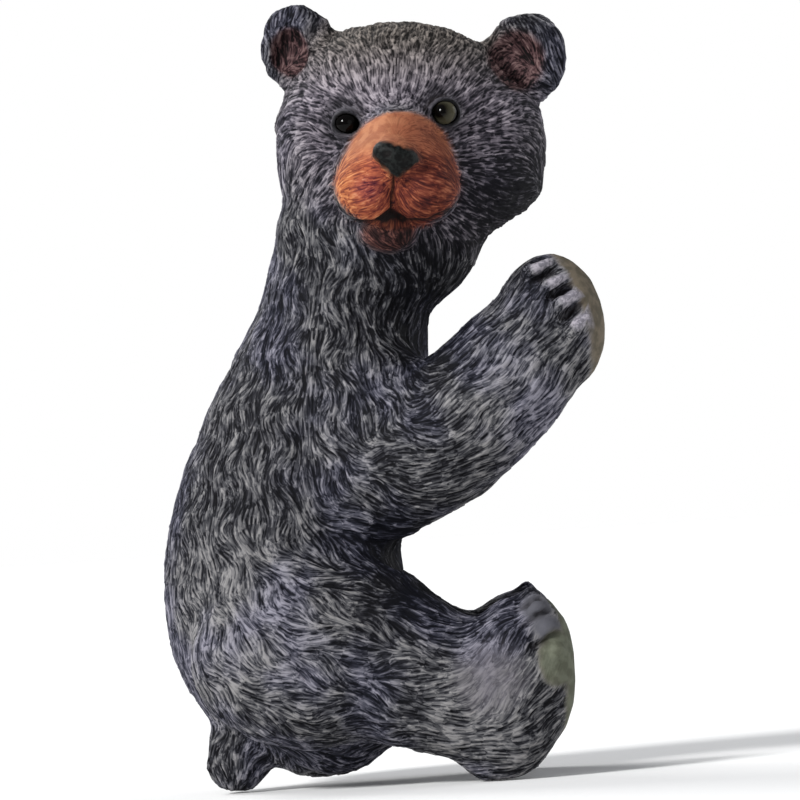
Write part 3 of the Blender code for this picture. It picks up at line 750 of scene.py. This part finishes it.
# %% Sockets
# half width, half height in metres, tilt in degrees
OPENINGS = {"eye_right": (0.0050, 0.0039, 8.0), "eye_left": (0.0054, 0.0049, 0.0)}
SOCKET_GAP = 0.0003
LID_THICKNESS = 0.0011
LID_FOLD = 0.0007
FACING = Vector((0.03, -1.0, 0.04)).normalized()
lid_edge, fold_dark = np.zeros(len(skin)), np.zeros(len(skin))
for name, (half_wide, half_high, tilt) in OPENINGS.items():
    centre = np.array(eye_centres[name])
    gaze = np.array(FACING)
    right = unit(np.cross([gaze], [[0, 0, 1.0]]))[0]
    up = np.cross(right, gaze)
    turn = math.radians(tilt)
    right, up = right * math.cos(turn) + up * math.sin(turn), up * math.cos(turn) - right * math.sin(turn)
    offset = skin - centre
    ahead = offset @ gaze
    u, v = offset @ right, offset @ up
    flat_reach = np.maximum(np.hypot(u, v), 1e-7)
    share = np.hypot(u / half_wide, v / half_high)
    radius = EYE_RADIUS + SOCKET_GAP
    distance = np.linalg.norm(offset, axis=1)
    near = (distance < 2.2 * EYE_RADIUS) & (ahead > -0.2 * EYE_RADIUS)
    inside = near & (share < 1)
    rim = np.arcsin(np.clip(flat_reach / np.maximum(share, 1e-3) / radius, 0, 0.98))
    angle = rim + (1 - share) * (math.pi - rim)
    sunk = centre + radius * (np.cos(angle)[:, None] * gaze
                              + (np.sin(angle) / flat_reach)[:, None] * (u[:, None] * right + v[:, None] * up))
    outside = near & (share >= 1)
    rim_height = LID_THICKNESS * (1 - np.exp(-(share - 1) / 0.10)) * fade(share, 1.15, 2.2)
    fold = np.exp(-((share - 1.62) / 0.13) ** 2) * fade(-v, -0.002, 0.001) * near
    push = np.maximum(radius + rim_height, distance) - LID_FOLD * fold
    lifted = centre + offset / distance[:, None] * push[:, None]
    skin[inside] = sunk[inside]
    skin[outside] = lifted[outside]
    edge = fade(share, 1.06, 1.30) * near
    lid_edge = np.maximum(lid_edge, edge)
    fold_dark = np.maximum(fold_dark, fold)
print("lids shaped")

# %% [markdown]
# ## Fewer faces
#
# A carved groove needs points across it and few along it, so the even skin is thinned by
# collapsing the edges that matter least. What is left is a mesh under 200,000 triangles
# that still holds every stroke.

# %% Thin out and dress
TRIANGLES = 196000
low, high = np.array(cad_box[0]), np.array(cad_box[1])
to_row = np.array(STAND)
row_points = skin @ to_row[:3, :3].T + to_row[:3, 3]
row_points = np.clip(row_points, low, high)
body.vertices.foreach_set("co", row_points.ravel())
body.update()
bear = bpy.data.objects.new("bear_body", body)
bpy.context.scene.collection.objects.link(bear)
thin = bear.modifiers.new("thin", "DECIMATE")
thin.ratio = min(1.0, TRIANGLES / (2 * len(skin)))
thin.use_collapse_triangulate = True
graph = bpy.context.evaluated_depsgraph_get()
thinned = bpy.data.meshes.new_from_object(bear.evaluated_get(graph), depsgraph=graph)
bear.modifiers.clear()
bear.data = thinned
thinned.shade_smooth()
thinned.calc_loop_triangles()
print("body has", len(thinned.loop_triangles), "triangles")

# %% [markdown]
# ## Zones on the thinned mesh
#
# The thinned mesh has new points, so each one takes its values from the nearest point of
# the fine skin.

# %% Carry the values over
fine = kdtree.KDTree(len(row_points))
for i, point in enumerate(row_points.tolist()):
    fine.insert(point, i)
fine.balance()
nearest = np.array([fine.find(point)[1] for point in points_of(thinned).tolist()])
dark = np.clip(mouth_dark + 0.70 * gap_dark + 0.8 * fold_dark, 0, 1)
values = {**zone, "relief": relief, "lock": lock_height, "tone": strong * furry + 0.5 * no_fur,
          "dark": dark, "edge": lid_edge, "head": head}
for name, value in values.items():
    layer = thinned.attributes.new(name, "FLOAT", "POINT")
    layer.data.foreach_set("value", value[nearest].astype(np.float32))
lie = thinned.attributes.new("flow", "FLOAT_VECTOR", "POINT")
lie.data.foreach_set("vector", (flow @ to_row[:3, :3].T)[nearest].astype(np.float32).ravel())
print(len(values), "layers of values and the lie of the fur")

# %% [markdown]
# ## Painted resin
#
# The casting is polyresin, matt and slightly dense, under acrylic paint. The painter first
# washes a navy black into every groove, then drags a nearly dry brush of slate grey over
# the ridges. The muzzle is airbrushed orange over the same carving. So the colour follows
# the height of the carving, and soft patches come from noise some centimetres wide. Light
# and shade are painted in as well: paler patches where light falls on the body, and painted
# shade round the eyes, on the shaded parts of the body and on the far side of the muzzle.

# %% Body paint
paint, tree, inputs = new_material("brushed acrylic on cast polyresin")
layer = {name: add(tree, "Attribute", out=2, attribute_name=name) for name in values}
where = add(tree, "TexCoord", out=3)
# noise by the width of its patches in millimetres
noise = {size: add(tree, "TexNoise", {"Scale": 1000 / size, "Detail": 3.0, "Vector": where})
         for size in (1.6, 5.0, 40.0)}
patch = {size: add(tree, "MapRange", {"Value": noise[size], "From Min": 0.40, "From Max": 0.60},
                   interpolation_type="SMOOTHSTEP") for size in noise}

# Strands finer than the carving: streaks drawn out along the fur, in tufts that each have
# their own, by the width of a tuft, the pitch and the length of a streak in metres
TUFTS = ((0.0085, 0.0010, 0.0110), (0.0060, 0.0008, 0.0070))
fur_way = add(tree, "Attribute", out=1, attribute_name="flow")
streaks = []
for wide, pitch, length in TUFTS:
    tuft = add(tree, "TexVoronoi", {"Scale": 1 / wide, "Vector": where}, 2)
    local = add(tree, "VectorMath", {0: where, 1: tuft}, operation="SUBTRACT")
    ahead = add(tree, "VectorMath", {0: local, 1: fur_way}, 1, operation="DOT_PRODUCT")
    ahead = add(tree, "Math", {0: ahead, 1: 1 / length - 1 / pitch}, operation="MULTIPLY")
    drawn = add(tree, "VectorMath", {0: fur_way, "Scale": ahead}, operation="SCALE")
    local = add(tree, "VectorMath", {0: local, "Scale": 1 / pitch}, operation="SCALE")
    local = add(tree, "VectorMath", {0: local, 1: drawn}, operation="ADD")
    local = add(tree, "VectorMath", {0: tuft.node.outputs["Color"], 1: (40, 40, 40), 2: local},
                operation="MULTIPLY_ADD")
    streaks.append(add(tree, "TexNoise", {"Scale": 1.0, "Detail": 1.0, "Vector": local}))

# The brush: height of the carving, uneven by the bristles and by how hard each stroke is, raised where light is
# painted and lowered where shade is painted
terms = ((layer["relief"], 0.60), (layer["lock"], 0.36), (layer["tone"], 0.14),
         (noise[1.6], 0.20), (layer["brushed"], 0.21), (streaks[0], 1.00), (streaks[1], 0.85))
height = -1.34
for term, share in terms:
    height = add(tree, "Math", {0: term, 1: share, 2: height}, operation="MULTIPLY_ADD")
ridge_share = add(tree, "MapRange", {"Value": height, "From Min": 0.05, "From Max": 0.85})

def banded(tree, share, stops):
    """Colours from low to high, as stops of a colour ramp over a share."""
    band = tree.nodes.new("ShaderNodeValToRGB")
    tree.links.new(share, band.inputs["Fac"])
    while len(band.color_ramp.elements) < len(stops):
        band.color_ramp.elements.new(0.5)
    for element, (spot, code) in zip(band.color_ramp.elements, stops):
        element.position, element.color = spot, linear(code)
    return band.outputs["Color"]

SLATE = ((0.0, "#070810"), (0.24, "#1d1e28"), (0.52, "#464651"), (1.0, "#85838e"))
SMOKE = ((0.0, "#08080c"), (0.24, "#202025"), (0.52, "#4b4b4e"), (1.0, "#868484"))
LILAC = ((0.0, "#0f0e14"), (0.25, "#2d2a31"), (0.55, "#605a62"), (1.0, "#9c949b"))
CROWN = ((0.0, "#141210"), (0.25, "#332f2c"), (0.55, "#5f5954"), (1.0, "#90877f"))
ORANGE = ((0.0, "#451a1e"), (0.35, "#7e3c2e"), (0.65, "#a85c3e"), (1.0, "#c8845c"))
PLUM = ((0.0, "#341024"), (0.35, "#6c2f34"), (0.65, "#93493f"), (1.0, "#c08a7c"))
OCHRE = ((0.0, "#4a2c1c"), (0.35, "#7e5232"), (0.65, "#a8773f"), (1.0, "#c29a5c"))
# the next ramp is painted shade, for the side of the muzzle away from the light
MUZZLE_SHADE = ((0.0, "#240a0a"), (0.38, "#421a15"), (0.70, "#643022"), (1.0, "#8c5039"))
RUSSET = ((0.0, "#120706"), (0.35, "#2e1612"), (0.65, "#552c22"), (1.0, "#7c4c38"))
EAR_BROWN = ((0.0, "#0a0708"), (0.25, "#2a1b1d"), (0.55, "#523c3d"), (1.0, "#7c6663"))
# the next ramp serves both the dark paint of the lids and the painted shade round the eyes
DARK_LID_AND_SHADE = ((0.0, "#040406"), (0.35, "#0f0e13"), (0.65, "#232228"), (1.0, "#4c4a50"))

# zones that the brush only tints, and how strongly; the shade round the eyes and on the far side of the muzzle
# is painted shade
dimmed = {name: add(tree, "Math", {0: layer[name], 1: share}, operation="MULTIPLY")
          for name, share in (("painted_eye_shade", 0.8), ("chin", 0.85), ("ochre", 0.25), ("blush", 0.7), ("painted_muzzle_shade", 0.9), ("lid", 0.85), ("soft", 0.6))}

# the airbrushed edge of the muzzle is frayed by the fur that lies over it
frayed = add(tree, "Math", {0: layer["muzzle"], 1: 2.0, 2: -1.4}, operation="MULTIPLY_ADD")
frayed = add(tree, "Math", {0: streaks[1], 1: 1.8, 2: frayed}, operation="MULTIPLY_ADD", use_clamp=True)

# share of the second colour, first colour or None for the colour so far, second colour
steps = (
    (patch[40.0], banded(tree, ridge_share, SLATE), banded(tree, ridge_share, SMOKE)),
    (layer["head"], None, banded(tree, ridge_share, LILAC)),
    (layer["crown"], None, banded(tree, ridge_share, CROWN)),
    # painted shade round the eyes, heaviest above them
    (dimmed["painted_eye_shade"], None, banded(tree, ridge_share, DARK_LID_AND_SHADE)),
    (frayed, None, banded(tree, ridge_share, ORANGE)),
    (dimmed["ochre"], None, banded(tree, ridge_share, OCHRE)),
    (dimmed["blush"], None, banded(tree, ridge_share, PLUM)),
    (layer["bridge"], None, add(tree, "Mix", {0: patch[5.0], 6: "#935b41", 7: "#ab7353"}, 2, data_type="RGBA")),
    # painted shade on the side of the muzzle away from the light
    (dimmed["painted_muzzle_shade"], None, banded(tree, ridge_share, MUZZLE_SHADE)),
    (dimmed["chin"], None, banded(tree, ridge_share, RUSSET)),
    (layer["ear"], None, banded(tree, ridge_share, EAR_BROWN)),
    (dimmed["soft"], None, add(tree, "Mix", {0: patch[5.0], 6: "#4c494f", 7: "#67636a"}, 2, data_type="RGBA")),
    (layer["toe"], None, "#525258"),
    (layer["pad"], None, add(tree, "Mix", {0: patch[5.0], 6: "#565044", 7: "#696053"}, 2, data_type="RGBA")),
    (layer["sole"], None, add(tree, "Mix", {0: patch[5.0], 6: "#55574a", 7: "#65685a"}, 2, data_type="RGBA")),
    (layer["claw"], None, add(tree, "Mix", {0: patch[1.6], 6: "#77747c", 7: "#a39ea6"}, 2, data_type="RGBA")),
    (layer["nose"], None, add(tree, "Mix", {0: patch[1.6], 6: "#030404", 7: "#181b1a"}, 2, data_type="RGBA")),
    (dimmed["lid"], None, banded(tree, ridge_share, DARK_LID_AND_SHADE)),
    (layer["edge"], None, "#08080a"),
    (layer["dark"], None, "#120c0c"),
)
colour = None
for share, first, second in steps:
    colour = add(tree, "Mix", {0: share, 6: first or colour, 7: second}, 2, data_type="RGBA")
tree.links.new(colour, inputs["Base Color"])
rough = add(tree, "MapRange", {"Value": noise[1.6], "To Min": 0.62, "To Max": 0.85})
tree.links.new(add(tree, "Math", {0: layer["nose"], 1: -0.20, 2: rough}, operation="MULTIPLY_ADD"),
               inputs["Roughness"])
inputs["Specular IOR Level"].default_value = 0.12
inputs["IOR"].default_value = 1.49
grit = add(tree, "Bump", {"Strength": 0.45, "Distance": 0.0005, "Height": streaks[0]})
tree.links.new(grit, inputs["Normal"])
thinned.materials.clear()
thinned.materials.append(paint)
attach(bear, "root")
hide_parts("bear")

# %% [markdown]
# ## Eyes
#
# The eyes are moulded acrylic, nearly black and very glossy. The olive iris is painted
# light: it shows only in the eye that faces the light, and the wide black pupil of the other
# eye is painted shade. Each is a ball of the solid's own size. Its colour follows the angle
# from the gaze, stored on the points, so it needs no picture.

# %% Eyeballs
eye_paint, tree, inputs = new_material("moulded acrylic eye")
angle_layer = add(tree, "Attribute", out=2, attribute_name="off_gaze")
fleck = add(tree, "TexNoise", {"Scale": 900.0, "Detail": 3.0, "Vector": add(tree, "TexCoord", out=3)})
iris_share = add(tree, "Math", {0: fleck, 1: 0.10, 2: angle_layer}, operation="MULTIPLY_ADD")
IRIS = ((0.0, "#040303"), (0.36, "#060504"), (0.44, "#1d1b13"), (0.62, "#37352a"), (0.86, "#4a4738"),
        (0.98, "#12100c"), (1.0, "#050404"))
tree.links.new(banded(tree, iris_share, IRIS), inputs["Base Color"])
inputs["Roughness"].default_value = 0.05
inputs["IOR"].default_value = 1.42
inputs["Specular IOR Level"].default_value = 0.14

# where each eye looks, and how large its pupil is beside the iris of the ramp; the wide pupil of the eye away
# from the light is painted shade
GAZES = {"eye_right": ((-0.25, -1.0, -0.10), 0.30), "eye_left": ((-0.50, -1.0, 0.22), 1.0)}
for name, (gaze, spread) in GAZES.items():
    centre = eye_middle(name)
    gaze = (TURN @ Vector(gaze)).normalized()
    ball = bmesh.new()
    bmesh.ops.create_uvsphere(ball, u_segments=56, v_segments=40, radius=EYE_RADIUS)
    mesh = bpy.data.meshes.new(name + "_ball")
    ball.to_mesh(mesh)
    ball.free()
    mesh.transform(gaze.to_track_quat("Z", "Y").to_matrix().to_4x4())
    spots = points_of(mesh)
    off = np.arccos(np.clip(unit(spots) @ np.array(gaze), -1, 1)) / (math.pi / 2)
    layer_data = mesh.attributes.new("off_gaze", "FLOAT", "POINT")
    layer_data.data.foreach_set("value", (off * spread).astype(np.float32))
    mesh.transform(Matrix.Translation(centre))
    mesh.shade_smooth()
    mesh.materials.append(eye_paint)
    eye = bpy.data.objects.new(name + "_ball", mesh)
    bpy.context.scene.collection.objects.link(eye)
    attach(eye, "root")
    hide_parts(name)
print("eyes set")
